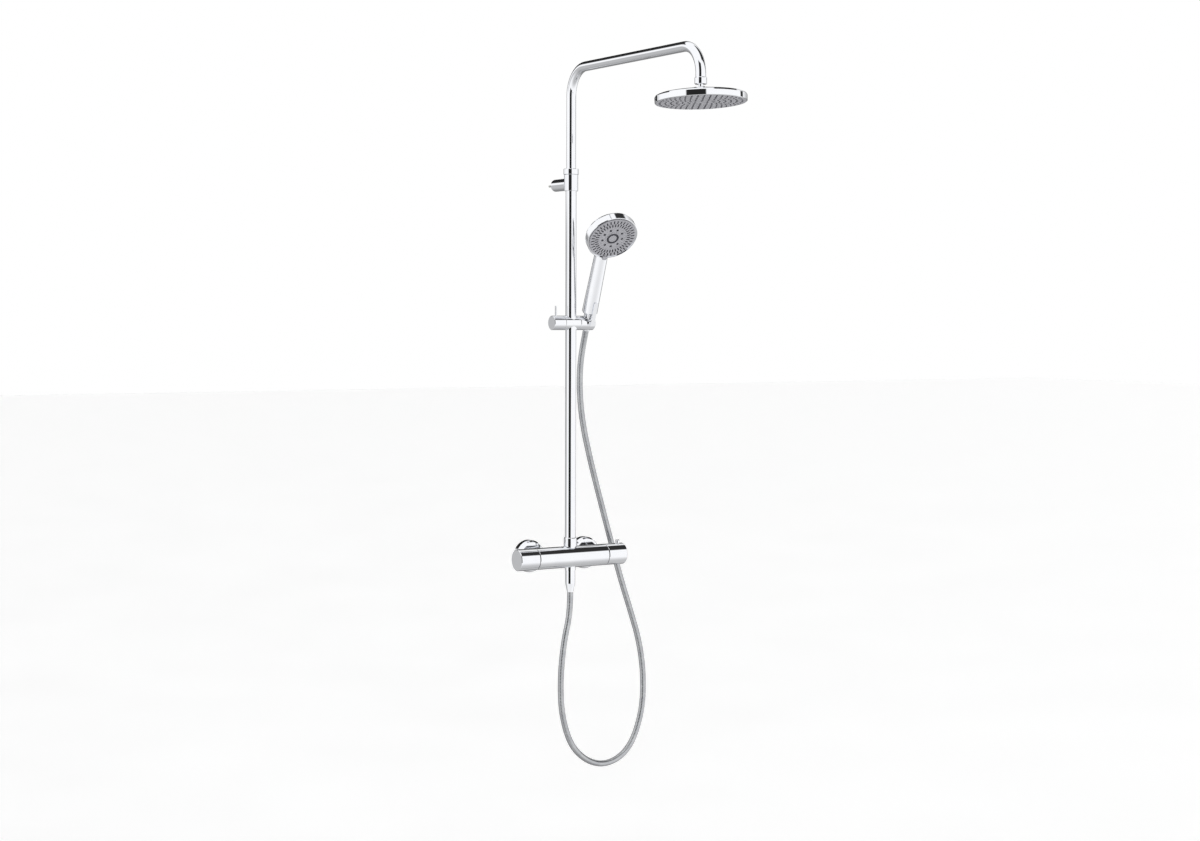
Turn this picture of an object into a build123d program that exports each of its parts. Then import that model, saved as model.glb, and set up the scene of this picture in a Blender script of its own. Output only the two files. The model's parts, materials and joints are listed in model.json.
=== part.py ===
from build123d import *
from math import cos, pi, radians, sin, tan
import os

# Wall-mounted thermostatic shower column with a rain head and a hand shower.
# Frame: origin midway between the two water inlets on the wall plane, +X to the user's
# right, +Y into the wall, +Z up.  Millimetres.

# --- driving dimensions -------------------------------------------------------------
inlet_spacing = 150.0
riser_depth = 70.0          # wall plane to the riser and mixer axes
mixer_radius = 25.0
mixer_length = 285.6
handle_length = 48.8
seam = 1.4                  # dark ring between body and handle
tube_radius = 12.5          # lower riser tube
tube_wall = 1.0
arm_radius = 11.0           # telescopic upper tube
arm_wall = 1.5
arm_height = 1126.0
arm_reach = 522.0           # riser axis to drop axis
arm_bend = 62.0
collar_bottom = 884.4
bracket_height = 862.8
slider_height = 543.4
slider_radius = 16.5
socket_x = 45.0
socket_lean = 21.0          # degrees, hand shower axis from vertical
grip_turn = -6.0            # degrees, hand shower turned in its socket
head_radius = 96.8
head_depth = 16.5
head_tip = 3.5              # degrees, rest angle of the head on its ball
ball_height = 1028.0
ball_radius = 9.5
spray_radius = 59.5
spray_along = 220.0         # spray face centre, along the grip
spray_forward = 40.2        # spray face centre, in front of the grip axis
spray_dip = 22.0            # degrees, spray face tipped down from square to the grip
hose_radius = 7.0
tail_radius = 20.955 / 2    # G1/2 thread crest
running = 0.06              # radial clearance of shafts and fits
loose = 0.15                # radial clearance of parts screwed together

# --- shared frames ------------------------------------------------------------------
riser_y = -riser_depth
riser_axis = Plane(origin=(0, riser_y, 0), x_dir=(1, 0, 0), z_dir=(0, 0, 1))
mixer_axis = Plane(origin=(0, riser_y, 0), x_dir=(0, 1, 0), z_dir=(1, 0, 0))
slider_axis = Plane(origin=(0, riser_y, slider_height), x_dir=(0, 1, 0), z_dir=(1, 0, 0))
ball_axis = Plane(origin=(0, riser_y - arm_reach, ball_height), x_dir=(1, 0, 0), z_dir=(0, 0, 1))
tip = radians(head_tip)
head_axis = Plane(origin=ball_axis.origin, x_dir=(1, 0, 0), z_dir=(0, sin(tip), cos(tip)))
lean = radians(socket_lean)
socket_axis = Plane(
    origin=(socket_x, riser_y, slider_height),
    x_dir=(1, 0, 0),
    z_dir=(0, -sin(lean), cos(lean)),
)
turn_angle = radians(grip_turn)
grip_axis = Plane(
    origin=socket_axis.origin,
    x_dir=socket_axis.x_dir * cos(turn_angle) + socket_axis.y_dir * sin(turn_angle),
    z_dir=socket_axis.z_dir,
)
dip = radians(spray_dip)
spray_axis = Plane(
    origin=grip_axis.origin + grip_axis.z_dir * spray_along - grip_axis.y_dir * spray_forward,
    x_dir=grip_axis.x_dir,
    z_dir=-grip_axis.y_dir * cos(dip) - grip_axis.z_dir * sin(dip),
)


def turn(axis_plane, *outline, mode=Mode.ADD):
    """Revolve an outline of (radius, height) points about a frame's Z axis."""
    profile_plane = Plane(axis_plane.origin, axis_plane.x_dir, -axis_plane.y_dir)
    with BuildSketch(profile_plane) as profile:
        with BuildLine():
            Polyline(*outline, close=True)
        make_face()
    revolve(profile.sketch, axis=Axis(axis_plane.origin, axis_plane.z_dir), mode=mode)


def disc(axis_plane, radius, low, high, mode=Mode.ADD):
    """A plain cylinder about a frame's Z axis, between two heights."""
    turn(axis_plane, (0, low), (radius, low), (radius, high), (0, high), mode=mode)


def ring(axis_plane, inner, outer, low, high, edge=0.0):
    """A ring about a frame's Z axis with its outer edges bevelled."""
    if edge > 0:
        turn(
            axis_plane,
            (inner, low),
            (outer - edge, low),
            (outer, low + edge),
            (outer, high - edge),
            (outer - edge, high),
            (inner, high),
        )
    else:
        turn(axis_plane, (inner, low), (outer, low), (outer, high), (inner, high))


def save(builder, node):
    builder.part.label = node
    export_step(builder.part, f"parts/{node}.step")


def inlet_axis(side):
    """Frame of one inlet: heights run along +Y, into the wall."""
    return Plane(origin=(side * inlet_spacing / 2, 0, 0), x_dir=(1, 0, 0), z_dir=(0, 1, 0))


def end_axis(side):
    """Mixer axis frame whose heights run outward to one side."""
    return Plane(origin=(0, riser_y, 0), x_dir=(0, 1, 0), z_dir=(side, 0, 0))


os.makedirs("parts", exist_ok=True)

# --- wall inlets ----------------------------------------------------------------------
boss_end = -35.9            # face of the mixer's inlet bosses
boss_radius = 12.0
washer_thickness = 2.9
union_flange = 11.8
union_neck = 9.3
nut_lip = -27.0
tail_length = 14.0
rosette_radius = 37.5


def make_inlet(side, name):
    """Wall union, rosette, union nut and filter washer of one water inlet."""
    axis = inlet_axis(side)
    washer_face = boss_end + washer_thickness

    with BuildPart() as union:
        turn(
            axis,
            (6.2, washer_face),
            (union_flange, washer_face),
            (union_flange, washer_face + 2.8),
            (union_neck, washer_face + 2.8),
            (union_neck, nut_lip + 0.5),
            (11.5, nut_lip + 0.5),
            (11.5, -1.0),
            (tail_radius, -1.0),
            (tail_radius, tail_length - 1.0),
            (tail_radius - 1.0, tail_length),
            (6.2, tail_length),
        )
    save(union, f"inlet_union_{name}")

    with BuildPart() as rosette:
        turn(
            axis,
            (rosette_radius, -0.2),
            (rosette_radius, -14.0),
            (rosette_radius - 1.0, -17.5),
            (rosette_radius - 4.0, -20.5),
            (rosette_radius - 8.5, -22.0),
            (11.5 + loose, -22.7),
            (11.5 + loose, -21.3),
            (rosette_radius - 8.9, -20.6),
            (rosette_radius - 4.9, -19.3),
            (rosette_radius - 2.3, -16.8),
            (rosette_radius - 1.4, -13.8),
            (rosette_radius - 1.4, -0.2),
        )
    save(rosette, f"rosette_{name}")

    with BuildPart() as nut:
        with BuildSketch(Plane(axis.origin, axis.x_dir, axis.z_dir).offset(boss_end - 6.6)):
            RegularPolygon(radius=15.0, side_count=6, major_radius=False)
        extrude(amount=nut_lip - boss_end + 6.6)
        disc(axis, boss_radius + loose, boss_end - 7, washer_face + 3.0, mode=Mode.SUBTRACT)
        disc(axis, union_neck + loose, washer_face, 0, mode=Mode.SUBTRACT)
    save(nut, f"union_nut_{name}")

    with BuildPart() as filter_washer:
        ring(axis, 6.0, 11.6, boss_end, washer_face)
        disc(axis, 6.0, boss_end + 1.0, boss_end + 1.6)
        with BuildSketch(axis.offset(boss_end + 0.5)):
            with GridLocations(2.4, 2.4, 3, 3):
                Rectangle(1.4, 1.4)
        extrude(amount=1.5, mode=Mode.SUBTRACT)
    save(filter_washer, f"inlet_filter_{name}")


make_inlet(-1, "hot")
make_inlet(1, "cold")

# --- mixer body -------------------------------------------------------------------------
body_half = mixer_length / 2 - handle_length - seam
cartridge_bore = 20.0
chamber_half = 33.0
riser_boss = 13.2
riser_boss_top = 38.0
outlet_boss = 12.5
outlet_bore = 9.0

with BuildPart() as mixer_body:
    ring(mixer_axis, 0, mixer_radius, -body_half, body_half, edge=0.5)
    disc(riser_axis, riser_boss, 0, riser_boss_top)
    disc(riser_axis, outlet_boss, -mixer_radius, 0)
    for side in (-1, 1):
        disc(inlet_axis(side), boss_radius, riser_y, boss_end)
    disc(mixer_axis, 12.0, -body_half, body_half, mode=Mode.SUBTRACT)
    for side in (-1, 1):
        disc(end_axis(side), cartridge_bore, chamber_half, body_half, mode=Mode.SUBTRACT)
        disc(inlet_axis(side), 7.0, riser_y, boss_end, mode=Mode.SUBTRACT)
    disc(riser_axis, outlet_bore, -mixer_radius, riser_boss_top, mode=Mode.SUBTRACT)
save(mixer_body, "mixer_body")

# --- cartridges --------------------------------------------------------------------------
cartridge_radius = 19.8
valve_bore = 14.0
plate_start = 84.0
cartridge_end = body_half - 0.3
spindle_radius = 5.0
spindle_start = 72.0
spindle_end = 118.0


def make_cartridge(side, node):
    """Cartridge housing with an open valve bore, water ports and a spindle plate."""
    axis = end_axis(side)
    with BuildPart() as housing:
        ring(axis, valve_bore, cartridge_radius, chamber_half + 0.5, plate_start, edge=0.4)
        ring(axis, spindle_radius + running, cartridge_radius, plate_start, cartridge_end)
        with BuildSketch(Plane.XY.offset(-mixer_radius)):
            with Locations((side * inlet_spacing / 2, riser_y)):
                Circle(3.5)
        extrude(amount=2 * mixer_radius, mode=Mode.SUBTRACT)
    save(housing, node)


def make_spindle(side, node):
    with BuildPart() as spindle:
        turn(
            end_axis(side),
            (0, spindle_start),
            (spindle_radius, spindle_start),
            (spindle_radius, plate_start - 4.5),
            (8.0, plate_start - 4.5),
            (8.0, plate_start - 1.0),
            (spindle_radius, plate_start - 1.0),
            (spindle_radius, spindle_end),
            (0, spindle_end),
        )
    save(spindle, node)


def make_spacer(side, node):
    with BuildPart() as spacer:
        ring(end_axis(side), 10.0, mixer_radius - 1.1, body_half + 0.1, body_half + seam - 0.4)
    save(spacer, node)


make_cartridge(-1, "flow_cartridge")
make_cartridge(1, "thermo_cartridge")
make_spindle(-1, "flow_spindle")
make_spindle(1, "temp_spindle")
make_spacer(-1, "spacer_ring_left")
make_spacer(1, "spacer_ring_right")

disc_radius = 13.4
disc_port_radius = 7.0

with BuildPart() as flow_disc_fixed:
    disc(end_axis(-1), valve_bore - 0.1, 62.0, 67.9)
    with BuildSketch(Plane.YZ.offset(-68.0)):
        with Locations((riser_y - disc_port_radius, 0), (riser_y + disc_port_radius, 0)):
            Circle(3.0)
    extrude(amount=6.5, mode=Mode.SUBTRACT)
save(flow_disc_fixed, "flow_disc_fixed")

with BuildPart() as flow_disc_rotor:
    disc(end_axis(-1), disc_radius, 68.0, spindle_start)
    with BuildSketch(Plane.YZ.offset(-70.0)):
        with Locations((riser_y + disc_port_radius, 0)):
            SlotOverall(9.0, 5.0, rotation=90)
    extrude(amount=2.5, mode=Mode.SUBTRACT)
save(flow_disc_rotor, "flow_disc_rotor")

with BuildPart() as thermo_piston:
    turn(
        end_axis(1),
        (6.0, 38.0),
        (6.0, 50.0),
        (disc_radius, 50.0),
        (disc_radius, 68.0),
        (9.5, 68.0),
        (9.5, 54.0),
        (3.0, 54.0),
        (3.0, 38.0),
    )
save(thermo_piston, "thermo_piston")

# --- handles -----------------------------------------------------------------------------
handle_start = mixer_length / 2 - handle_length
handle_end = mixer_length / 2
handle_wall = 3.0
hub_radius = 9.0
button_x = 130.0
button_radius = 5.0


def turn_handle(side):
    """Round hollow handle, closed at the outer end, with a hub for the spindle."""
    turn(
        end_axis(side),
        (mixer_radius - handle_wall, handle_start),
        (mixer_radius - 0.6, handle_start),
        (mixer_radius, handle_start + 0.6),
        (mixer_radius, handle_end - 1.0),
        (mixer_radius - 1.0, handle_end),
        (0, handle_end),
        (0, spindle_end + 0.1),
        (spindle_radius + 0.1, spindle_end + 0.1),
        (spindle_radius + 0.1, spindle_end - 20.0),
        (hub_radius, spindle_end - 20.0),
        (hub_radius, handle_end - handle_wall),
        (mixer_radius - handle_wall, handle_end - handle_wall),
    )


with BuildPart() as flow_handle:
    turn_handle(-1)
save(flow_handle, "flow_handle")

button_axis = Plane(origin=(button_x, riser_y, 0), x_dir=(1, 0, 0), z_dir=(0, 0, 1))

with BuildPart() as temp_handle:
    turn_handle(1)
    disc(button_axis, button_radius + running, 15.0, mixer_radius + 1, mode=Mode.SUBTRACT)
save(temp_handle, "temp_handle")

with BuildPart() as safety_button:
    turn(
        button_axis,
        (0, 16.0),
        (6.5, 16.0),
        (6.5, 19.0),
        (button_radius, 19.0),
        (button_radius, 31.5),
        (button_radius - 1.5, 33.0),
        (0, 33.0),
    )
save(safety_button, "safety_button")

# --- riser ---------------------------------------------------------------------------------
nut_top = 45.2
tube_bottom = riser_boss_top + 2.5
tube_top = collar_bottom + 4.0
tube_bore = tube_radius - tube_wall

with BuildPart() as riser_nut:
    turn(
        riser_axis,
        (riser_boss + loose, mixer_radius + 0.3),
        (15.2, mixer_radius + 0.3),
        (15.2, nut_top - 1.2),
        (14.0, nut_top),
        (tube_radius + 0.1, nut_top),
        (tube_radius + 0.1, tube_bottom + 1.5),
        (riser_boss + loose, tube_bottom + 1.5),
    )
save(riser_nut, "riser_nut")

with BuildPart() as riser_seal:
    ring(riser_axis, outlet_bore + 0.2, riser_boss, riser_boss_top, tube_bottom)
save(riser_seal, "riser_seal")

with BuildPart() as riser_tube:
    ring(riser_axis, tube_bore, tube_radius, tube_bottom, tube_top)
save(riser_tube, "riser_tube")

collar_radius = 17.4
collar_height = 13.3
collar_top = collar_bottom + collar_height

with BuildPart() as lock_collar:
    turn(
        riser_axis,
        (tube_radius + 0.1, collar_bottom),
        (collar_radius - 0.8, collar_bottom),
        (collar_radius, collar_bottom + 0.8),
        (collar_radius, collar_top - 0.8),
        (collar_radius - 0.8, collar_top),
        (arm_radius + 0.5, collar_top),
        (arm_radius + 0.5, collar_top - 1.8),
        (13.8, collar_top - 1.8),
        (13.8, tube_top + 0.1),
        (tube_radius + 0.1, tube_top + 0.1),
    )
save(lock_collar, "lock_collar")

with BuildPart() as collar_bush:
    ring(riser_axis, arm_radius + running, 13.7, tube_top + 0.2, collar_top - 1.9)
save(collar_bush, "collar_bush")

# --- wall bracket ----------------------------------------------------------------------------
sleeve_radius = 16.2
sleeve_bottom = 846.9
stem_radius = 14.0
bracket_axis = Plane(origin=(0, 0, bracket_height), x_dir=(1, 0, 0), z_dir=(0, 1, 0))
fixing_depth = 14.0

with BuildPart() as bracket_sleeve:
    ring(riser_axis, tube_radius + 0.1, sleeve_radius, sleeve_bottom, collar_bottom - 0.2, edge=0.6)
save(bracket_sleeve, "bracket_sleeve")

with BuildPart() as bracket_stem:
    turn(
        bracket_axis,
        (0, riser_y + 10.0),
        (stem_radius, riser_y + 10.0),
        (stem_radius, -1.0),
        (stem_radius - 1.0, 0),
        (11.1, 0),
        (11.1, -fixing_depth - 6.0),
        (0, -fixing_depth - 6.0),
    )
    disc(riser_axis, sleeve_radius + 0.05, sleeve_bottom, collar_bottom, mode=Mode.SUBTRACT)
save(bracket_stem, "bracket_stem")

with BuildPart() as wall_fixing:
    ring(bracket_axis, 2.7, 11.0, -fixing_depth, 0)
save(wall_fixing, "wall_fixing")

with BuildPart() as wall_screw:
    turn(
        bracket_axis,
        (0, -fixing_depth - 3.2),
        (4.6, -fixing_depth - 3.2),
        (4.6, -fixing_depth - 0.1),
        (2.4, -fixing_depth - 0.1),
        (2.4, 0.5),
        (2.5, 0.5),
        (2.5, 27.0),
        (0, 31.0),
    )
save(wall_screw, "wall_screw")

# --- hose outlet -------------------------------------------------------------------------------
outlet_ring_bottom = -31.5
hose_nut_top = outlet_ring_bottom - 0.2
hose_nut_bottom = -82.0
nipple_bottom = -44.0
nipple_thread = 9.7

with BuildPart() as outlet_nipple:
    turn(
        riser_axis,
        (5.5, -16.0),
        (outlet_bore - 0.1, -16.0),
        (outlet_bore - 0.1, -mixer_radius - 0.1),
        (12.5, -mixer_radius - 0.1),
        (12.5, outlet_ring_bottom),
        (nipple_thread, outlet_ring_bottom),
        (nipple_thread, nipple_bottom),
        (5.5, nipple_bottom),
    )
save(outlet_nipple, "outlet_nipple")

with BuildPart() as hose_nut_lower:
    turn(
        riser_axis,
        (nipple_thread + loose, hose_nut_top),
        (11.6, hose_nut_top),
        (11.6, -62.0),
        (7.4, hose_nut_bottom),
        (5.0, hose_nut_bottom),
        (5.0, nipple_bottom - 2.0),
        (nipple_thread + loose, nipple_bottom - 2.0),
    )
save(hose_nut_lower, "hose_nut_lower")

with BuildPart() as hose_washer_lower:
    ring(riser_axis, 5.0, nipple_thread, nipple_bottom - 2.0, nipple_bottom)
save(hose_washer_lower, "hose_washer_lower")

# --- guide bush inside the riser --------------------------------------------------------------
arm_bottom = 698.0
bush_length = 30.0
arm_bore = arm_radius - arm_wall

with BuildPart() as guide_bush:
    turn(
        riser_axis,
        (6.5, arm_bottom - bush_length),
        (tube_bore - running, arm_bottom - bush_length),
        (tube_bore - running, arm_bottom - 18.0),
        (9.2, arm_bottom - 18.0),
        (9.2, arm_bottom - 14.0),
        (tube_bore - running, arm_bottom - 14.0),
        (tube_bore - running, arm_bottom - 0.1),
        (arm_bore - running, arm_bottom - 0.1),
        (arm_bore - running, arm_bottom + 18.0),
        (6.5, arm_bottom + 18.0),
    )
save(guide_bush, "guide_bush")

with BuildPart() as bush_seal:
    ring(riser_axis, 9.3, tube_bore - running, arm_bottom - 17.8, arm_bottom - 14.2, edge=0.6)
save(bush_seal, "bush_seal")

# --- swan-neck arm --------------------------------------------------------------------------------
drop_y = riser_y - arm_reach
ferrule_bottom = 1041.0
ferrule_top = 1056.0
drop_end = ferrule_bottom + 8.0

with BuildPart() as swan_neck:
    with BuildLine() as arm_path:
        FilletPolyline(
            (0, riser_y, arm_bottom),
            (0, riser_y, arm_height),
            (0, drop_y, arm_height),
            (0, drop_y, drop_end),
            radius=arm_bend,
        )
    with BuildSketch(riser_axis.offset(arm_bottom)):
        Circle(arm_radius)
        Circle(arm_bore, mode=Mode.SUBTRACT)
    sweep(path=arm_path.line)
save(swan_neck, "swan_neck")

drop_axis = Plane(origin=(0, drop_y, 0), x_dir=(1, 0, 0), z_dir=(0, 0, 1))
stem_bore = 3.5

with BuildPart() as arm_ferrule:
    turn(
        drop_axis,
        (6.6, ferrule_bottom),
        (11.8, ferrule_bottom),
        (13.0, ferrule_bottom + 1.2),
        (13.0, ferrule_top - 1.2),
        (arm_radius + 0.8, ferrule_top),
        (arm_radius + 0.1, ferrule_top),
        (arm_radius + 0.1, drop_end - 0.1),
        (6.6, drop_end - 0.1),
    )
save(arm_ferrule, "arm_ferrule")

with BuildPart() as ball_stem:
    disc(drop_axis, 5.6, ball_height, ferrule_bottom)
    disc(drop_axis, 6.5, ferrule_bottom, drop_end - 0.5)
    with Locations(ball_axis.location):
        Sphere(ball_radius)
    disc(drop_axis, stem_bore, ball_height - 20.0, drop_end, mode=Mode.SUBTRACT)
save(ball_stem, "ball_stem")

# --- ball joint of the rain head -------------------------------------------------------------------
seat_outer = 11.94
nut_cavity = 12.0
seat_low = -8.0
seat_high = 5.0

with BuildPart() as ball_seat:
    with Locations(head_axis.location):
        Sphere(seat_outer)
        Sphere(ball_radius + running, mode=Mode.SUBTRACT)
    disc(head_axis, 20.0, seat_high, 20.0, mode=Mode.SUBTRACT)
    disc(head_axis, 20.0, -20.0, seat_low, mode=Mode.SUBTRACT)
save(ball_seat, "ball_seat")

with BuildPart() as ball_nut:
    turn(
        head_axis,
        (0, -14.0),
        (12.5, -14.0),
        (12.5, -4.0),
        (16.0, -4.0),
        (16.0, 5.5),
        (14.5, 7.0),
        (0, 7.0),
    )
    with Locations(head_axis.location):
        Sphere(nut_cavity, mode=Mode.SUBTRACT)
    disc(head_axis, 9.4, 0, 8.0, mode=Mode.SUBTRACT)
    disc(head_axis, 6.0, -15.0, 0, mode=Mode.SUBTRACT)
save(ball_nut, "ball_nut")

# --- rain head ---------------------------------------------------------------------------------------
face_level = -24.3
rim_top = face_level + head_depth
head_bore = 12.6
face_back = face_level + 2.8
nozzle_rings = ((15.0, 6), (27.0, 12), (39.0, 18), (51.0, 24), (63.0, 30), (75.0, 36), (86.5, 42))

with BuildPart() as head_shell:
    turn(
        head_axis,
        (head_bore, -4.1),
        (60.0, -5.0),
        (head_radius - 7.0, rim_top + 0.6),
        (head_radius - 2.0, rim_top - 1.4),
        (head_radius, rim_top - 4.2),
        (head_radius, face_level + 1.2),
        (head_radius - 1.2, face_level),
        (head_radius - 2.4, face_level),
        (head_radius - 2.4, rim_top - 4.5),
        (head_radius - 7.0, rim_top - 1.8),
        (60.0, -7.4),
        (head_bore, -6.5),
    )
save(head_shell, "head_shell")

with BuildPart() as head_backnut:
    ring(head_axis, 12.65, 20.0, -11.0, -7.0, edge=0.5)
save(head_backnut, "head_backnut")


def nozzle_circles(axis_plane, height, radius):
    """Sketch of one small circle at each nozzle of the rain head."""
    with BuildSketch(axis_plane.offset(height)) as circles:
        for ring_radius, count in nozzle_rings:
            with PolarLocations(ring_radius, count):
                Circle(radius)
    return circles.sketch


with BuildPart() as head_face:
    disc(head_axis, head_radius - 2.5, face_level + 0.3, face_back)
    extrude(nozzle_circles(head_axis, face_level, 2.5), amount=4.0, mode=Mode.SUBTRACT)
save(head_face, "head_face")

with BuildPart() as head_nozzles:
    disc(head_axis, head_radius - 4.0, face_back + 0.1, face_back + 1.6)
    extrude(nozzle_circles(head_axis, face_level - 0.9, 2.2), amount=4.2)
save(head_nozzles, "head_nozzles")

# --- slider on the riser --------------------------------------------------------------------------------
collet_radius = 14.5
collet_half = 15.0
barrel_left = -20.9
barrel_right = 19.0
knob_left = -51.5
cradle_right = 57.7
pivot_radius = 8.0

slider_riser = Plane(origin=(0, riser_y, slider_height), x_dir=(1, 0, 0), z_dir=(0, 0, 1))

with BuildPart() as slider_collet:
    ring(slider_riser, tube_radius + running, collet_radius, -collet_half, collet_half)
save(slider_collet, "slider_collet")

with BuildPart() as slider_barrel:
    ring(slider_axis, 0, slider_radius, barrel_left, barrel_right, edge=0.3)
    disc(slider_riser, collet_radius + running, -20.0, 20.0, mode=Mode.SUBTRACT)
    disc(slider_axis, 4.0 + running, barrel_left, 0, mode=Mode.SUBTRACT)
    disc(slider_axis, 5.1, -17.2, 0, mode=Mode.SUBTRACT)
    disc(slider_axis, pivot_radius + running, 0, barrel_right, mode=Mode.SUBTRACT)
save(slider_barrel, "slider_barrel")

with BuildPart() as brake_shoe:
    disc(slider_axis, 5.0, -17.1, -15.1)
save(brake_shoe, "brake_shoe")

with BuildPart() as clamp_screw:
    disc(slider_axis, 4.0, -45.0, -17.3)
save(clamp_screw, "clamp_screw")

lever_x = -40.3
lever_radius = 2.2
lever_top = 39.3
lever_axis = Plane(origin=(lever_x, riser_y, slider_height), x_dir=(1, 0, 0), z_dir=(0, 0, 1))

with BuildPart() as lock_knob:
    turn(
        slider_axis,
        (0, knob_left),
        (slider_radius - 0.8, knob_left),
        (slider_radius, knob_left + 0.8),
        (slider_radius, barrel_left - 0.6),
        (4.1, barrel_left - 0.6),
        (4.1, -45.1),
        (0, -45.1),
    )
    disc(lever_axis, lever_radius + 0.1, 8.0, 20.0, mode=Mode.SUBTRACT)
save(lock_knob, "lock_knob")

with BuildPart() as lock_lever:
    ring(lever_axis, 0, lever_radius, 8.2, lever_top, edge=0.6)
save(lock_lever, "lock_lever")

# --- cradle for the hand shower ----------------------------------------------------------------------------
nut_low = -17.5             # hose nut, along the grip axis
nut_high = 24.4
nut_low_radius = 9.0
nut_high_radius = 12.0
socket_gap = 0.45
slot_half = 7.6
prong_width = 10.0
prong_top = 56.0
lip_width = 17.0
lip_height = 9.0


def cone_radius(height):
    """Outer radius of the hose nut's cone at a height along the grip axis."""
    slope = (nut_high_radius - nut_low_radius) / (nut_high - nut_low)
    return nut_low_radius + slope * (height - nut_low)


with BuildPart() as cradle:
    ring(slider_axis, 0, slider_radius, barrel_right + 0.5, cradle_right, edge=0.8)
    disc(slider_axis, pivot_radius, barrel_right - 3.0, barrel_right + 0.5)
    with BuildSketch(socket_axis):
        with Locations((0, -19.3)):
            Rectangle(lip_width, 9.0, align=(Align.CENTER, Align.MIN))
    extrude(amount=lip_height)
    with BuildSketch(socket_axis):
        with Locations((0, -22.0)):
            Rectangle(prong_width, 2.7, align=(Align.CENTER, Align.MIN))
    extrude(amount=prong_top)
    turn(
        socket_axis,
        (0, -22.0),
        (cone_radius(-22.0) + socket_gap, -22.0),
        (cone_radius(22.0) + socket_gap, 22.0),
        (0, 22.0),
        mode=Mode.SUBTRACT,
    )
    with BuildSketch(socket_axis.offset(-25.0)):
        Rectangle(20.0, 2 * slot_half, align=(Align.MIN, Align.CENTER))
    extrude(amount=50.0, mode=Mode.SUBTRACT)
save(cradle, "cradle")

# --- hand shower --------------------------------------------------------------------------
grip_bottom = 25.0
grip_wide = 18.0
grip_slim = 15.6
spigot_radius = 9.3
spigot_bottom = 8.0
waterway = 6.0
waterway_end = 185.0
spray_cavity = spray_radius - 4.0

with BuildPart() as handset_shell:
    turn(
        grip_axis,
        (0, spigot_bottom),
        (spigot_radius, spigot_bottom),
        (spigot_radius, grip_bottom),
        (grip_wide - 2.0, grip_bottom),
        (grip_wide, grip_bottom + 2.5),
        (grip_slim, 166.0),
        (14.6, 180.0),
        (11.5, 193.0),
        (6.5, 202.0),
        (0, 206.0),
    )
    turn(
        spray_axis,
        (0, -4.0),
        (spray_radius - 1.0, -4.0),
        (spray_radius - 1.0, -1.5),
        (spray_radius, -2.5),
        (spray_radius, -18.5),
        (spray_radius - 1.8, -22.5),
        (spray_radius - 8.0, -27.5),
        (spray_radius - 21.0, -32.5),
        (spray_radius - 39.0, -36.0),
        (0, -37.5),
    )
    turn(
        spray_axis,
        (0, -29.0),
        (15.0, -28.5),
        (spray_radius - 25.0, -25.5),
        (spray_radius - 11.0, -20.5),
        (spray_cavity, -15.0),
        (spray_cavity, 5.0),
        (0, 5.0),
        mode=Mode.SUBTRACT,
    )
    turn(spray_axis, (0, -30.0), (9.0, -30.0), (9.0, -9.0), (0, -9.0))
    disc(spray_axis, 5.0 + running, -24.0, -8.0, mode=Mode.SUBTRACT)
    disc(grip_axis, waterway, spigot_bottom - 1, waterway_end, mode=Mode.SUBTRACT)
    turning = Plane(grip_axis.origin + grip_axis.z_dir * waterway_end, grip_axis.x_dir, spray_axis.z_dir)
    disc(turning, 3.5, 0, 14.0, mode=Mode.SUBTRACT)
save(handset_shell, "handset_shell")

spray_ring_radius = 24.0
jet_radius = 2.6
groove_inner = 9.5
groove_outer = 14.5
groove_floor = -2.8
rib_rows = ((38.5, 0), (47.6, 5.0))      # radius, first angle
rib_count = 36
rib_length = 8.2
rib_width = 2.2


def spray_ribs(height, spare):
    """Sketch of one slot at each rubber rib of the hand shower, two staggered rows."""
    with BuildSketch(spray_axis.offset(height)) as ribs:
        for row_radius, first_angle in rib_rows:
            with PolarLocations(row_radius, rib_count, start_angle=first_angle):
                SlotOverall(rib_length + spare, rib_width + spare)
    return ribs.sketch


face_edge = spray_cavity - 0.4
tab_reach = spray_radius + 3.0
tab_start = 52.3
tab_width = 11.0

with BuildPart() as spray_face:
    turn(
        spray_axis,
        (0, -5.0),
        (face_edge, -5.0),
        (face_edge, -1.8),
        (spray_radius - 6.5, -0.6),
        (32.0, -0.6),
        (30.0, -2.0),
        (17.5, -1.6),
        (16.5, -0.4),
        (0, -0.4),
    )
    with BuildSketch(spray_axis.offset(-0.3)):
        with Locations((0, -tab_reach)):
            Rectangle(tab_width, tab_reach - tab_start, align=(Align.CENTER, Align.MIN))
    extrude(amount=2.3)
    fillet(spray_face.edges().filter_by(Axis(spray_axis.origin, spray_axis.z_dir)).sort_by(Axis.Z)[:2], 3.0)
    with BuildSketch(spray_axis.offset(-2.2)):
        with Locations((0, -tab_start)):
            Rectangle(tab_width, face_edge - tab_start - 0.4, align=(Align.CENTER, Align.MAX))
    extrude(amount=4.2)
    extrude(spray_ribs(-6.0, 0.6), amount=8.0, mode=Mode.SUBTRACT)
    with BuildSketch(spray_axis.offset(-6.0)):
        with PolarLocations(spray_ring_radius, 9):
            Circle(jet_radius + 0.3)
    extrude(amount=6.0, mode=Mode.SUBTRACT)
    turn(
        spray_axis,
        (groove_inner, groove_floor),
        (groove_outer, groove_floor),
        (groove_outer, 1.0),
        (groove_inner, 1.0),
        mode=Mode.SUBTRACT,
    )
save(spray_face, "spray_face")

with BuildPart() as spray_ring:
    ring(spray_axis, groove_inner + 0.1, groove_outer - 0.1, groove_floor + 0.1, -0.2, edge=0.3)
save(spray_ring, "spray_ring")

with BuildPart() as spray_nozzles:
    ring(spray_axis, 20.0, 54.0, -6.8, -5.1)
    with BuildSketch(spray_axis.offset(-5.5)):
        with PolarLocations(spray_ring_radius, 9):
            Circle(jet_radius)
    extrude(amount=4.2)
    extrude(spray_ribs(-5.5, 0), amount=5.5)
save(spray_nozzles, "spray_nozzles")

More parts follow.
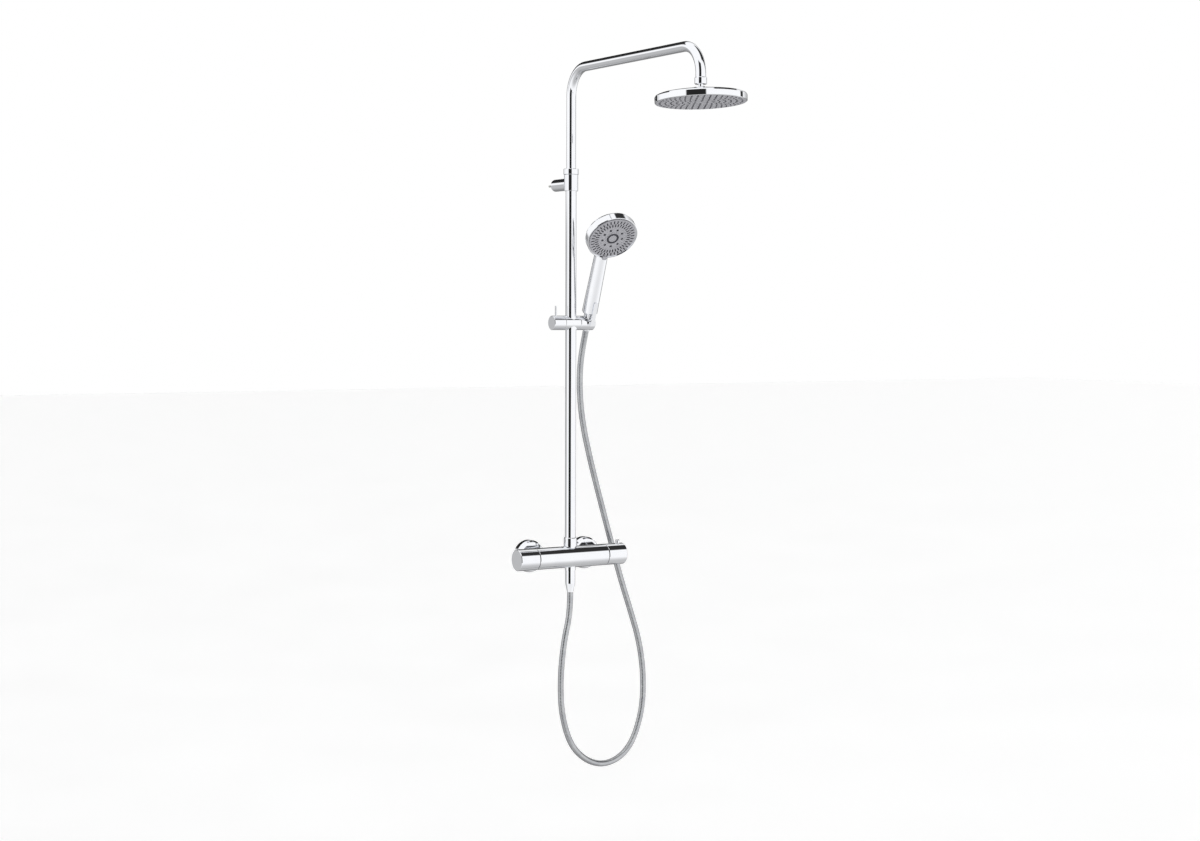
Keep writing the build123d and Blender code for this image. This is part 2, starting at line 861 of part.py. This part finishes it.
with BuildPart() as selector_pivot:
    disc(spray_axis, 5.0, -23.0, -5.1)
save(selector_pivot, "selector_pivot")

washer_top = spigot_bottom - 0.1
washer_low = washer_top - 2.0

with BuildPart() as hose_nut_upper:
    turn(
        grip_axis,
        (5.0, nut_low),
        (nut_low_radius, nut_low),
        (nut_high_radius, nut_high),
        (spigot_radius + loose, nut_high),
        (spigot_radius + loose, washer_low),
        (5.0, washer_low),
    )
save(hose_nut_upper, "hose_nut_upper")

with BuildPart() as hose_washer_upper:
    ring(grip_axis, 4.5, spigot_radius, washer_low, washer_top)
save(hose_washer_upper, "hose_washer_upper")

# --- shower hose --------------------------------------------------------------------------
# From the hand shower's nut down behind the right handle, round the free loop and up
# to the outlet nut.
hose_start = grip_axis.origin + grip_axis.z_dir * nut_low
hose_first = grip_axis.origin + grip_axis.z_dir * (nut_low - 38.0)
hose_route = [
    (hose_start.X, hose_start.Y, hose_start.Z),
    (hose_first.X, hose_first.Y, hose_first.Z),
    (41, -43, 438),
    (44, -38, 375),
    (55, -34, 305),
    (78, -31, 220),
    (107, -29, 125),
    (137, -28, 28),
    (163, -29, -60),
    (190, -32, -140),
    (214, -37, -220),
    (223, -43, -305),
    (214, -49, -395),
    (172, -54, -482),
    (92, -59, -507),
    (14, -64, -462),
    (-20, -67, -378),
    (-26, -69, -287),
    (-17, -70, -197),
    (0, riser_y, -132),
    (0, riser_y, hose_nut_bottom),
]
bend_share = 0.45


def bend_radii(points):
    """Radius at each inner corner: an arc that uses 0.45 of the shorter run."""
    radii = []
    for before, corner, after in zip(points, points[1:], points[2:]):
        arriving = Vector(*corner) - Vector(*before)
        leaving = Vector(*after) - Vector(*corner)
        half_turn = radians(arriving.get_angle(leaving)) / 2
        radii.append(bend_share * min(arriving.length, leaving.length) / tan(half_turn))
    return radii


hose_radii = bend_radii(hose_route)
print("hose bend radii:", [round(radius) for radius in hose_radii])

with BuildPart() as shower_hose:
    with BuildLine() as hose_path:
        FilletPolyline(*hose_route, radius=hose_radii)
    with BuildSketch(Plane(hose_path.line @ 0, z_dir=hose_path.line % 0)):
        Circle(hose_radius)
    sweep(path=hose_path.line)
hose_length = hose_path.wires()[0].length
section_area = pi * hose_radius**2
print("hose length:", round(hose_length, 1))
print("hose volume over section x length:", round(shower_hose.part.volume / section_area / hose_length, 5))
save(shower_hose, "shower_hose")
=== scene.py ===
import json
from math import cos, pi, radians, sin

import bpy
from mathutils import Matrix, Vector


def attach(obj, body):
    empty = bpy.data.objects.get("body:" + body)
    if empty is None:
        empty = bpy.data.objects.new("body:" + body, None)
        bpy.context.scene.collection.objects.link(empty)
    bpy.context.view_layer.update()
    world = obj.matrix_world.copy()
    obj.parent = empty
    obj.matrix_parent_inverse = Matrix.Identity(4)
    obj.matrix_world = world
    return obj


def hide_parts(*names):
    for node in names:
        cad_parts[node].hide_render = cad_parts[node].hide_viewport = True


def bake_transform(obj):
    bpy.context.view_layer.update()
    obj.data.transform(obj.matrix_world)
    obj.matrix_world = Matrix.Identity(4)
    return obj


# Wall-mounted shower column: looks, hose, floor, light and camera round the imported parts.
# Metres, +Z up, the wall is the plane y = 0 and the user stands at -Y.

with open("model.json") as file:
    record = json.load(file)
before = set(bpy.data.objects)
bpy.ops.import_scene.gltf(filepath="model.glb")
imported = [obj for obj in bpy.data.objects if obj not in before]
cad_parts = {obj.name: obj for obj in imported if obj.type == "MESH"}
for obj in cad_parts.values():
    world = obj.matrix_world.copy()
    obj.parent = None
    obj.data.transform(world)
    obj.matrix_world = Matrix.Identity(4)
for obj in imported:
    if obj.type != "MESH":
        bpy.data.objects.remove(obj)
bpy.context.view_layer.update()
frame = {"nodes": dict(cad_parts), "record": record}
mm = 0.001

# --- node helpers ---------------------------------------------------------------------


def add_node(tree, kind, **settings):
    node = tree.nodes.new(kind)
    for key, value in settings.items():
        setattr(node, key, value)
    return node


def wire(tree, source, target):
    """Join an output socket to an input, or set the input to a constant."""
    if isinstance(source, bpy.types.NodeSocket):
        tree.links.new(source, target)
    else:
        target.default_value = source


def maths(tree, operation, first, second=0.0, third=0.0):
    node = add_node(tree, "ShaderNodeMath", operation=operation)
    wire(tree, first, node.inputs[0])
    wire(tree, second, node.inputs[1])
    wire(tree, third, node.inputs[2])
    return node.outputs[0]


def ramp(tree, value, start, end):
    """0 before start and 1 past end, with a smooth step between them."""
    node = add_node(tree, "ShaderNodeMapRange", interpolation_type="SMOOTHSTEP")
    wire(tree, value, node.inputs["Value"])
    wire(tree, start, node.inputs["From Min"])
    wire(tree, end, node.inputs["From Max"])
    return node.outputs[0]


def window(tree, value, low, high, soft):
    """1 where value lies between low and high, falling to 0 over soft on either side."""
    rise = ramp(tree, value, low - soft, low)
    fall = ramp(tree, value, high, high + soft)
    return maths(tree, "MULTIPLY", rise, maths(tree, "SUBTRACT", 1.0, fall))


def noise(tree, vector, scale, detail=3.0, roughness=0.55):
    node = add_node(tree, "ShaderNodeTexNoise")
    wire(tree, vector, node.inputs["Vector"])
    wire(tree, scale, node.inputs["Scale"])
    wire(tree, detail, node.inputs["Detail"])
    wire(tree, roughness, node.inputs["Roughness"])
    return node.outputs["Fac"]


noise_low = 0.3
noise_high = 0.7


def spread(tree, value, low, high):
    """Map the middle of a noise's range to low and high."""
    node = add_node(tree, "ShaderNodeMapRange")
    wire(tree, value, node.inputs["Value"])
    wire(tree, noise_low, node.inputs["From Min"])
    wire(tree, noise_high, node.inputs["From Max"])
    wire(tree, low, node.inputs["To Min"])
    wire(tree, high, node.inputs["To Max"])
    return node.outputs[0]


# --- materials ---------------------------------------------------------------------------
patch_scale = 2.3
speckle_scale = 1.7
hose_pitch = 0.0034
hose_relief = 0.0003


def surface(
    name,
    colour,
    second,
    metallic,
    rough,
    grain=60.0,
    fine=900.0,
    bump=0.00002,
    speckle=0.0,
):
    """A material with colour drift, roughness patches and a fine raised grain."""
    material = bpy.data.materials.new(name)
    material.use_nodes = True
    tree = material.node_tree
    shader = tree.nodes["Principled BSDF"]
    place = add_node(tree, "ShaderNodeTexCoord").outputs["Object"]
    drift = noise(tree, place, grain)
    blend = add_node(tree, "ShaderNodeMix", data_type="RGBA")
    wire(tree, spread(tree, drift, 0.0, 1.0), blend.inputs["Factor"])
    wire(tree, (*colour, 1.0), blend.inputs["A"])
    wire(tree, (*second, 1.0), blend.inputs["B"])
    colour_out = blend.outputs["Result"]
    if speckle > 0:
        dots = noise(tree, place, fine * speckle_scale, detail=1.0)
        darker = add_node(tree, "ShaderNodeMix", data_type="RGBA", blend_type="MULTIPLY")
        wire(tree, speckle, darker.inputs["Factor"])
        wire(tree, colour_out, darker.inputs["A"])
        wire(tree, dots, darker.inputs["B"])
        colour_out = darker.outputs["Result"]
    wire(tree, colour_out, shader.inputs["Base Color"])
    wire(tree, metallic, shader.inputs["Metallic"])
    patches = noise(tree, place, grain * patch_scale, detail=4.0)
    wire(tree, spread(tree, patches, rough[0], rough[1]), shader.inputs["Roughness"])
    relief = add_node(tree, "ShaderNodeBump")
    wire(tree, 1.0, relief.inputs["Strength"])
    wire(tree, bump, relief.inputs["Distance"])
    wire(tree, noise(tree, place, fine), relief.inputs["Height"])
    wire(tree, relief.outputs[0], shader.inputs["Normal"])
    return material


def hose_material():
    """Silver plastic over a spiral: fine raised turns along the hose's length."""
    material = surface("hose_silver", (0.50, 0.51, 0.52), (0.40, 0.41, 0.43), 1.0, (0.1, 0.17))
    tree = material.node_tree
    shader = tree.nodes["Principled BSDF"]
    uv = add_node(tree, "ShaderNodeTexCoord").outputs["UV"]
    parts = add_node(tree, "ShaderNodeSeparateXYZ")
    wire(tree, uv, parts.inputs[0])
    turns = maths(tree, "MULTIPLY_ADD", parts.outputs[1], 1.0 / hose_pitch, parts.outputs[0])
    height = maths(tree, "ABSOLUTE", maths(tree, "SINE", maths(tree, "MULTIPLY", turns, pi)))
    relief = add_node(tree, "ShaderNodeBump")
    wire(tree, 1.0, relief.inputs["Strength"])
    wire(tree, hose_relief, relief.inputs["Distance"])
    wire(tree, height, relief.inputs["Height"])
    wire(tree, relief.outputs[0], shader.inputs["Normal"])
    return material


# slot: colour, second colour, metallic, roughness range, patch scale, grain scale, grain depth
finishes = {
    "chrome": ((0.84, 0.85, 0.87), (0.81, 0.82, 0.85), 1.0, (0.03, 0.07), 25, 700, 1.2e-6),
    "plated_plastic": ((0.84, 0.85, 0.87), (0.81, 0.82, 0.85), 1.0, (0.04, 0.08), 30, 650, 1.4e-6),
    "brass": ((0.72, 0.53, 0.24), (0.62, 0.44, 0.18), 1.0, (0.22, 0.38), 90, 500, 3e-5),
    "steel": ((0.60, 0.60, 0.58), (0.52, 0.52, 0.49), 1.0, (0.28, 0.42), 120, 600, 3e-5),
    "spray_grey": ((0.43, 0.43, 0.46), (0.40, 0.40, 0.43), 0.0, (0.34, 0.46), 45, 1500, 2e-5),
    "nozzle_rubber": (
        (0.03, 0.03, 0.042),
        (0.042, 0.042, 0.055),
        0.0,
        (0.5, 0.65),
        200,
        2500,
        3e-5,
    ),
    "seal_rubber": ((0.02, 0.02, 0.022), (0.03, 0.03, 0.03), 0.0, (0.55, 0.7), 150, 2000, 3e-5),
    "white_plastic": ((0.80, 0.80, 0.78), (0.76, 0.76, 0.73), 0.0, (0.35, 0.5), 60, 1200, 2e-5),
    "black_plastic": ((0.025, 0.025, 0.03), (0.035, 0.035, 0.04), 0.0, (0.35, 0.5), 80, 1500, 2e-5),
    "ceramic": ((0.86, 0.85, 0.80), (0.82, 0.80, 0.75), 0.0, (0.08, 0.16), 50, 1800, 8e-6),
}
material_names = {"chrome": "polished_chrome", "brass": "turned_brass", "steel": "zinc_steel"}
speckles = {"spray_grey": 0.1}
materials = {
    slot: surface(material_names.get(slot, slot), *finish, speckle=speckles.get(slot, 0.0))
    for slot, finish in finishes.items()
}
materials["hose_skin"] = hose_material()
cad_crease = radians(28)
piece_crease = radians(35)
slot_of = {entry["node"]: entry["material_slot"] for entry in frame["record"]["subparts"]}

for name, node in frame["nodes"].items():
    for material_slot in node.material_slots:
        material_slot.material = materials[slot_of[name]]
    node.data.polygons.foreach_set("use_smooth", [True] * len(node.data.polygons))
    node.data.set_sharp_from_angle(angle=cad_crease)

# --- detailed pieces ---------------------------------------------------------------------------
# Drawn in millimetres in their own frame (x, y, height), then placed in metres.


def frame_matrix(origin, x_dir, z_dir):
    """Placement of a frame given in millimetres."""
    up = Vector(z_dir).normalized()
    x_dir = (Vector(x_dir) - up * up.dot(Vector(x_dir))).normalized()
    turned = Matrix((x_dir, up.cross(x_dir), up)).transposed().to_4x4()
    return Matrix.Translation(mm * Vector(origin)) @ turned @ Matrix.Scale(mm, 4)


def place_piece(name, node, shape, placement, body):
    """Add a drawn piece in place of a CAD node, in the node's own finish."""
    vertices, faces = shape
    mesh = bpy.data.meshes.new(name)
    mesh.from_pydata([placement @ Vector(v) for v in vertices], [], faces)
    mesh.polygons.foreach_set("use_smooth", [True] * len(mesh.polygons))
    mesh.set_sharp_from_angle(angle=piece_crease)
    mesh.materials.append(materials[slot_of[node]])
    piece = bpy.data.objects.new(name, mesh)
    bpy.context.scene.collection.objects.link(piece)
    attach(piece, body)
    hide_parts(node)


def turned_rows(rows):
    """Closed mesh over a loop of rows, each with one (radius, height) pair per side."""
    sides = len(rows[0])
    vertices = []
    for row in rows:
        for k, (radius, height) in enumerate(row):
            angle = 2 * pi * k / sides
            vertices.append((radius * cos(angle), radius * sin(angle), height))
    faces = []
    for i in range(len(rows)):
        for k in range(sides):
            low, high, after = i * sides, (i + 1) % len(rows) * sides, (k + 1) % sides
            faces.append((low + k, low + after, high + after, high + k))
    return vertices, faces


def lathe(outline, sides):
    """Surface of revolution from a closed loop of (radius, height) points."""
    return turned_rows([[point] * sides for point in outline])


def moved(shape, x, y, height=0.0, turn=0.0):
    """A shape turned about its height axis, then moved."""
    vertices, faces = shape
    c, s = cos(turn), sin(turn)
    return [(c * a - s * b + x, s * a + c * b + y, h + height) for a, b, h in vertices], faces


def joined(shapes):
    vertices = []
    faces = []
    for more, loops in shapes:
        start = len(vertices)
        vertices.extend(more)
        faces.extend(tuple(start + i for i in loop) for loop in loops)
    return vertices, faces


thread_crest = 1.35
thread_slope = 3.2


def threaded(before, after, low, high, crest, depth, pitch, sides=48, steps=10):
    """Turned piece whose stretch from low to high carries a helical thread."""
    rows = [[point] * sides for point in before]
    count = round((high - low) / pitch * steps)
    for i in range(count + 1):
        height = low + (high - low) * i / count
        row = []
        for k in range(sides):
            phase = ((height - low) / pitch - k / sides) % 1.0
            ridge = min(1.0, max(0.0, thread_crest - thread_slope * abs(phase - 0.5)))
            fade = min(1.0, (height - low) / pitch, (high - height) / pitch)
            row.append((crest - depth * (1.0 - ridge) * fade, height))
        rows.append(row)
    rows += [[point] * sides for point in after]
    return turned_rows(rows)


def capsule(length, width, levels):
    """Rounded bar along x: levels are (inset, height) rows from its foot to its top."""
    vertices = []
    faces = []
    corner = 8
    half = (length - width) / 2
    for inset, height in levels:
        radius = width / 2 - inset
        for k in range(2 * corner):
            end = half if k < corner else -half
            angle = pi * (k % corner) / (corner - 1) - pi / 2 + (0 if k < corner else pi)
            vertices.append((end + radius * cos(angle), radius * sin(angle), height))
    sides = 2 * corner
    for i in range(len(levels) - 1):
        for k in range(sides):
            after = (k + 1) % sides
            low, high = i * sides, (i + 1) * sides
            faces.append((low + k, low + after, high + after, high + k))
    faces.append(tuple(range(sides))[::-1])
    faces.append(tuple((len(levels) - 1) * sides + k for k in range(sides)))
    return vertices, faces


def at_angle(shape, radius, angle):
    return moved(shape, radius * cos(angle), radius * sin(angle), turn=angle)


# rain head: soft conical nozzles with a drilled end, on their rubber sheet
head_tip = radians(3.5)
ball_centre = (0, -592, 1028)
head_place = frame_matrix(ball_centre, (1, 0, 0), (0, sin(head_tip), cos(head_tip)))
head_face_level = -24.3
nozzle_rings = ((15.0, 6), (27.0, 12), (39.0, 18), (51.0, 24), (63.0, 30), (75.0, 36), (86.5, 42))
nozzle = lathe(
    [
        (0.35, 2.0),
        (0.6, -0.6),
        (0.75, -0.9),
        (1.05, -0.85),
        (1.4, -0.4),
        (2.0, 0.7),
        (2.2, 3.0),
        (0.4, 3.0),
    ],
    sides=14,
)
sheet_outline = [(92.8, 3.3), (92.8, 3.9), (92.3, 4.4), (0.5, 4.4), (0.5, 2.9), (92.3, 2.9)]
sheet = lathe(sheet_outline, sides=96)
nozzles = [sheet]
for ring_radius, count in nozzle_rings:
    nozzles += [at_angle(nozzle, ring_radius, 2 * pi * i / count) for i in range(count)]
place_piece(
    "rain_nozzles",
    "head_nozzles",
    moved(joined(nozzles), 0, 0, head_face_level),
    head_place,
    "rain_head",
)

# hand shower: rubber ribs in two staggered rows, each with two raised outlets
socket_lean = radians(21.0)
grip_turn = radians(-6.0)
spray_dip = radians(22.0)
spray_along = 220.0
spray_forward = 40.2
socket = Vector((45, -70, 543.4))
grip = Vector((0, -sin(socket_lean), cos(socket_lean)))
across = sin(grip_turn)
grip_x = Vector((cos(grip_turn), cos(socket_lean) * across, sin(socket_lean) * across))
grip_y = grip.cross(grip_x)
spray_place = frame_matrix(
    socket + grip * spray_along - grip_y * spray_forward,
    grip_x,
    -grip_y * cos(spray_dip) - grip * sin(spray_dip),
)
rib_rows = ((38.5, 0.0), (47.6, radians(5.0)))
rib_count = 36
outlet_spread = 2.3
jet_ring_radius = 24.0
jet_count = 9
rib_levels = [(0, -5.6), (0, -0.35), (0.12, -0.12), (0.4, -0.02)]
rib = capsule(8.2, 2.2, rib_levels)
outlet_outline = [(0.25, -0.5), (0.3, 0.28), (0.55, 0.28), (0.8, -0.05), (0.85, -0.5)]
outlet = lathe(outlet_outline, sides=10)
jet = lathe(
    [(0.5, -3.0), (0.7, -1.5), (1.0, -1.3), (2.3, -1.35), (2.6, -1.7), (2.6, -5.4), (0.5, -5.4)],
    sides=18,
)
ribs = [lathe([(53.9, -6.7), (53.9, -5.2), (20.1, -5.2), (20.1, -6.7)], sides=72)]
ribs += [at_angle(jet, jet_ring_radius, 2 * pi * i / jet_count) for i in range(jet_count)]
for row_radius, first_angle in rib_rows:
    for i in range(rib_count):
        angle = first_angle + 2 * pi * i / rib_count
        ribs.append(at_angle(rib, row_radius, angle))
        ribs.append(at_angle(outlet, row_radius - outlet_spread, angle))
        ribs.append(at_angle(outlet, row_radius + outlet_spread, angle))
place_piece("spray_ribs", "spray_nozzles", joined(ribs), spray_place, "selector")

# inlet tails and wall screw with their threads
union_outline = [
    (6.2, -33.0),
    (11.5, -33.0),
    (11.8, -32.7),
    (11.8, -30.5),
    (11.5, -30.2),
    (9.3, -30.2),
    (9.3, -26.5),
    (11.2, -26.5),
    (11.5, -26.2),
    (11.5, -1.3),
    (11.2, -1.0),
    (10.4, -1.0),
]
for inlet_x, label in ((-75.0, "hot"), (75.0, "cold")):
    tail = threaded(
        union_outline,
        [(9.6, 13.0), (9.4, 13.0), (6.5, 13.0), (6.2, 12.7)],
        low=-0.9,
        high=12.9,
        crest=10.46,
        depth=1.16,
        pitch=1.814,
    )
    place_piece(
        "threaded_union_" + label,
        "inlet_union_" + label,
        tail,
        frame_matrix((inlet_x, 0, 0), (1, 0, 0), (0, 1, 0)),
        "column",
    )
screw_outline = [
    (0.9, -15.4),
    (1.0, -17.1),
    (2.6, -17.2),
    (3.9, -16.7),
    (4.6, -15.4),
    (4.6, -14.4),
    (4.2, -14.1),
    (2.4, -14.1),
    (2.4, 1.0),
]
screw = threaded(
    screw_outline,
    [(0.9, 29.6), (0.1, 31.0), (0.05, 20.0), (0.05, -15.0)],
    low=1.2,
    high=28.4,
    crest=2.49,
    depth=0.8,
    pitch=2.2,
    sides=24,
)
screw_height = 862.8
screw_place = frame_matrix((0, 0, screw_height), (1, 0, 0), (0, 1, 0))
place_piece("threaded_screw", "wall_screw", screw, screw_place, "column")

# --- shower hose ---------------------------------------------------------------------------
# One NURBS gives the route, in millimetres, from the hand shower's nut to the outlet nut.
# The tube on it is cut at given heights where the bodies that would carry it change; only the loop
# is attached to a body, the column.
hose_diameter = 0.014
hose_start = -17.5
hose_straight = -55.5
hose_route = [
    tuple(socket + grip * hose_start),
    tuple(socket + grip * hose_straight),
    (41, -43, 438),
    (44, -38, 375),
    (55, -34, 305),
    (78, -31, 220),
    (107, -29, 125),
    (137, -28, 28),
    (163, -29, -60),
    (190, -32, -140),
    (214, -37, -220),
    (223, -43, -305),
    (214, -49, -395),
    (172, -54, -482),
    (92, -59, -507),
    (14, -64, -462),
    (-20, -67, -378),
    (-26, -69, -287),
    (-17, -70, -197),
    (0, -70, -132),
    (0, -70, -82),
]
ring_step = 0.0025
ring_sides = 20
hose_cut_heights = (0.440, 0.350, 0.262, -0.240)


def route_points():
    """Points of the route's curve, evenly spaced, in metres."""
    curve = bpy.data.curves.new("hose_route", "CURVE")
    curve.dimensions = "3D"
    curve.resolution_u = 24
    spline = curve.splines.new("NURBS")
    spline.points.add(len(hose_route) - 1)
    for point, place in zip(spline.points, hose_route):
        point.co = (*(mm * c for c in place), 1.0)
    spline.order_u = 3
    spline.use_endpoint_u = True
    carrier = bpy.data.objects.new("hose_route", curve)
    bpy.context.scene.collection.objects.link(carrier)
    line = bpy.data.meshes.new_from_object(carrier)
    dense = [v.co.copy() for v in line.vertices]
    bpy.data.objects.remove(carrier)
    bpy.data.meshes.remove(line)
    return even(dense, ring_step)


def even(points, step):
    """Points at equal steps along a polyline, its two ends kept."""
    marks = [0.0]
    for a, b in zip(points, points[1:]):
        marks.append(marks[-1] + (b - a).length)
    count = round(marks[-1] / step)
    placed = []
    place = 0
    for i in range(count + 1):
        target = marks[-1] * i / count
        while place < len(points) - 2 and marks[place + 1] < target:
            place += 1
        share = (target - marks[place]) / (marks[place + 1] - marks[place])
        placed.append(points[place].lerp(points[place + 1], share))
    return placed


def tube_rings(points, radius, sides):
    """One ring of vertices per point, carried along without twist."""
    tangents = []
    for i in range(len(points)):
        tangents.append((points[min(i + 1, len(points) - 1)] - points[max(i - 1, 0)]).normalized())
    side = tangents[0].orthogonal().normalized()
    rings = []
    for point, tangent in zip(points, tangents):
        side = (side - tangent * side.dot(tangent)).normalized()
        other = tangent.cross(side)
        ring = []
        for k in range(sides):
            angle = 2 * pi * k / sides
            ring.append(point + radius * (cos(angle) * side + sin(angle) * other))
        rings.append(ring)
    return rings


def tube_piece(name, rings, first_mark):
    """Mesh tube over some rings, with u round it and v its length in metres."""
    sides = len(rings[0])
    vertices = [v for ring in rings for v in ring]
    faces = []
    for i in range(len(rings) - 1):
        for k in range(sides):
            after = (k + 1) % sides
            low, high = i * sides, (i + 1) * sides
            faces.append((low + k, low + after, high + after, high + k))
    mesh = bpy.data.meshes.new(name)
    mesh.from_pydata(vertices, [], faces)
    layer = mesh.uv_layers.new(name="length")
    corner = 0
    for i in range(len(rings) - 1):
        for k in range(sides):
            low = first_mark + i * ring_step
            high = low + ring_step
            for u, v in ((k, low), (k + 1, low), (k + 1, high), (k, high)):
                layer.data[corner].uv = (u / sides, v)
                corner += 1
    mesh.polygons.foreach_set("use_smooth", [True] * len(mesh.polygons))
    mesh.materials.append(materials["hose_skin"])
    piece = bpy.data.objects.new(name, mesh)
    bpy.context.scene.collection.objects.link(piece)
    return piece


hose_points = route_points()
hose_rings = tube_rings(hose_points, hose_diameter / 2, ring_sides)
lowest = min(range(len(hose_points)), key=lambda i: hose_points[i].z)


def ring_at_height(height):
    """Index of the ring at a height on the branch that falls from the hand shower."""
    return min(range(lowest), key=lambda i: abs(hose_points[i].z - height))


cuts = [0, *(ring_at_height(height) for height in hose_cut_heights), len(hose_points) - 1]
carriers = (
    ("hose_at_handset", "cradle", "handset", ["hose_nut_upper", "hose_washer_upper"]),
    ("hose_at_cradle", "slider", "cradle", []),
    ("hose_at_slider", "slider_collet", "slider", []),
    ("hose_falling", "column", "slider_collet", []),
    ("hose_loop", "column", None, ["hose_nut_lower", "hose_washer_lower"]),
)
hose_pieces = []
for (name, below, above, ends), first, last in zip(carriers, cuts, cuts[1:]):
    piece = tube_piece(name, hose_rings[first : last + 1], first * ring_step)
    run = hose_points[first : last + 1]
    if above:
        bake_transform(piece)
    else:
        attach(piece, below)
    run = run[::-1]
    hose_pieces.append(piece)
for piece in hose_pieces:
    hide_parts("shower_hose")

# --- floor, light and camera ------------------------------------------------------------------
floor_height = -1.15
floor_half = 40.0
room_light = 1.15
floor_glow = 0.3
# Dark shapes of the room, as the chrome mirrors them. A window is (low, high, soft edge) and a
# fade is (none, whole): radians for an angle, and for an axis its share of the unit direction.
band_azimuth = (radians(-70), radians(-24), radians(4))
band_height = (-0.27, 0.55, 0.07)
mixer_strip_angle = (radians(52), radians(103), radians(9))
mixer_strip_side = (0.25, 1.2, 0.05)
arm_strip_angle = (radians(50), radians(170), radians(8))
arm_strip_rear = (0.7, 1.1, 0.04)
rear_height = (-1.5, 0.03, 0.05)
low_fade = (-0.35, -0.92)
rear_fade = (0.15, 0.75)
ahead_fade = (0.5, 0.92)
ahead_direction = (0.528, 0.848)
# share of the light that each takes away
band_shade = 0.98
strip_shade = 0.97
low_shade = 0.5
rear_shade = 0.5
ahead_shade = 0.55


def make_floor():
    mesh = bpy.data.meshes.new("floor")
    corners = [(-1, -1), (1, -1), (1, 1), (-1, 1)]
    places = [(x * floor_half, y * floor_half, floor_height) for x, y in corners]
    mesh.from_pydata(places, [], [(0, 1, 2, 3)])
    pale = surface(
        "pale_floor",
        (0.93, 0.93, 0.93),
        (0.91, 0.91, 0.91),
        0.0,
        (0.6, 0.75),
        grain=0.8,
        fine=30,
        bump=0.0002,
    )
    lit = pale.node_tree.nodes["Principled BSDF"]
    lit.inputs["Emission Color"].default_value = (1.0, 1.0, 1.0, 1.0)
    lit.inputs["Emission Strength"].default_value = floor_glow
    mesh.materials.append(pale)
    floor = bpy.data.objects.new("floor", mesh)
    floor.visible_glossy = False
    bpy.context.scene.collection.objects.link(floor)


def make_world():
    """White room with a dark band beside the viewer, two dark strips overhead and grey behind."""
    world = bpy.data.worlds.new("studio")
    bpy.context.scene.world = world
    world.use_nodes = True
    tree = world.node_tree
    background = tree.nodes["Background"]
    direction = add_node(tree, "ShaderNodeTexCoord").outputs["Generated"]
    parts = add_node(tree, "ShaderNodeSeparateXYZ")
    wire(tree, direction, parts.inputs[0])
    x, y, z = parts.outputs
    azimuth = maths(tree, "ARCTAN2", x, maths(tree, "MULTIPLY", y, -1.0))
    # dark band beside the viewer: mirrored in the middle of every upright tube
    band = window(tree, azimuth, *band_azimuth)
    band = maths(tree, "MULTIPLY", band, window(tree, z, *band_height))
    # dark strips overhead: mirrored along the top of the level mixer and of the arm
    over_mixer = maths(tree, "ARCTAN2", z, maths(tree, "MULTIPLY", y, -1.0))
    mixer_strip = window(tree, over_mixer, *mixer_strip_angle)
    mixer_strip = maths(tree, "MULTIPLY", mixer_strip, window(tree, x, *mixer_strip_side))
    over_arm = maths(tree, "ARCTAN2", z, maths(tree, "MULTIPLY", x, -1.0))
    arm_strip = window(tree, over_arm, *arm_strip_angle)
    arm_strip = maths(tree, "MULTIPLY", arm_strip, window(tree, y, *arm_strip_rear))
    # grey straight down, and a grey lower half on the wall's side
    low = ramp(tree, z, *low_fade)
    rear = ramp(tree, y, *rear_fade)
    behind = maths(tree, "MULTIPLY", rear, window(tree, z, *rear_height))
    # grey straight ahead of the viewer: seen at the grazing edges of every tube
    along = maths(tree, "MULTIPLY", x, ahead_direction[0])
    along = maths(tree, "MULTIPLY_ADD", y, ahead_direction[1], along)
    ahead = ramp(tree, along, *ahead_fade)
    light = maths(tree, "SUBTRACT", 1.0, maths(tree, "MULTIPLY", band, band_shade))
    shades = (
        (mixer_strip, strip_shade),
        (arm_strip, strip_shade),
        (low, low_shade),
        (behind, rear_shade),
        (ahead, ahead_shade),
    )
    for mask, depth in shades:
        kept = maths(tree, "SUBTRACT", 1.0, maths(tree, "MULTIPLY", mask, depth))
        light = maths(tree, "MULTIPLY", light, kept)
    light = maths(tree, "MULTIPLY", light, room_light)
    # the camera itself sees plain white
    seen = add_node(tree, "ShaderNodeLightPath").outputs["Is Camera Ray"]
    light = maths(tree, "MAXIMUM", light, seen)
    wire(tree, light, background.inputs["Strength"])
    wire(tree, (1.0, 1.0, 1.0, 1.0), background.inputs["Color"])


def make_camera():
    """Viewpoint of the photograph: left of the column, at about the height of the slider."""
    place = Vector((-2.415, -4.079, 0.553))
    yaw = radians(31.9)
    pitch = radians(2.88)
    roll = radians(0.18)
    forward = Vector((sin(yaw) * cos(pitch), cos(yaw) * cos(pitch), -sin(pitch)))
    right = Vector((cos(yaw), -sin(yaw), 0))
    up = right.cross(forward)
    level_right = right * cos(roll) + up * sin(roll)
    level_up = up * cos(roll) - right * sin(roll)
    camera = bpy.data.cameras.new("camera")
    camera.sensor_width = 36.0
    camera.lens = 60.63
    camera.clip_end = 200.0
    holder = bpy.data.objects.new("camera", camera)
    bpy.context.scene.collection.objects.link(holder)
    turned = Matrix((level_right, level_up, -forward)).transposed().to_4x4()
    holder.matrix_world = Matrix.Translation(place) @ turned
    bpy.context.scene.camera = holder


bpy.context.scene.view_settings.view_transform = "Standard"
make_floor()
make_world()
make_camera()
